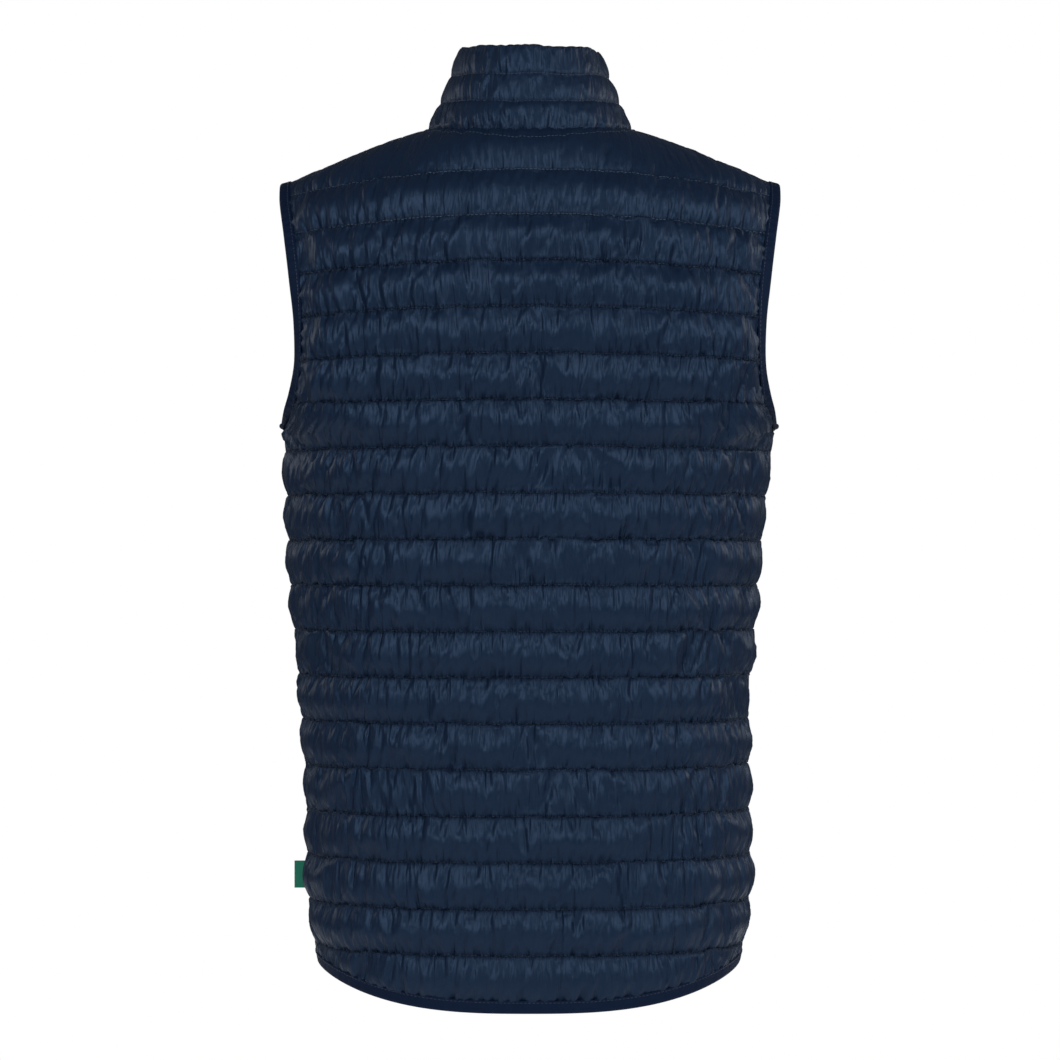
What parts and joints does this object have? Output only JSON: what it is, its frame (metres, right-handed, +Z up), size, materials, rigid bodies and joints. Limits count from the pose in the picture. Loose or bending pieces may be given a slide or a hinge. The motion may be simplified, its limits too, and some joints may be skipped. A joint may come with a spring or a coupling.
{
  "type": "quilted vest",
  "caption": "Padded sleeveless vest with horizontal quilting, a stand collar, a full front zip and a drop-tail hem, filled out as worn.",
  "frame": {"origin": "midway between the two side-neck points, where the wearer's shoulders carry the vest", "axes": "+Z up, +Y out of the vest's back, +X towards the wearer's left"},
  "size_m": [0.4256, 0.2585, 0.805],
  "materials": {
    "shell_fabric": "navy woven nylon with a low satin sheen",
    "binding": "navy elastic binding tape",
    "label": "bare green woven label",
    "zip_tape": "navy woven zip tape",
    "zip_metal": "dark painted zip"
  },
  "bodies": {
    "vest": {"back_panel": "shell_fabric", "front_left": "shell_fabric", "front_right": "shell_fabric", "collar": "shell_fabric", "armhole_binding_left": "binding", "armhole_binding_right": "binding", "hem_binding": "binding", "side_label": "label", "zip_tape_left": "zip_tape", "zip_tape_right": "zip_tape", "zip_chain": "zip_metal", "zip_box": "zip_metal", "zip_slider": "zip_metal"},
    "pull": {"zip_pull": "zip_metal"}
  },
  "joints": [
    {"name": "pull_hinge", "type": "hinge", "parent": "vest", "child": "pull", "pos_m": [0, -0.07654, -0.01346], "axis": [-1, 0, 0], "range_deg": [0, 165]}
  ]
}
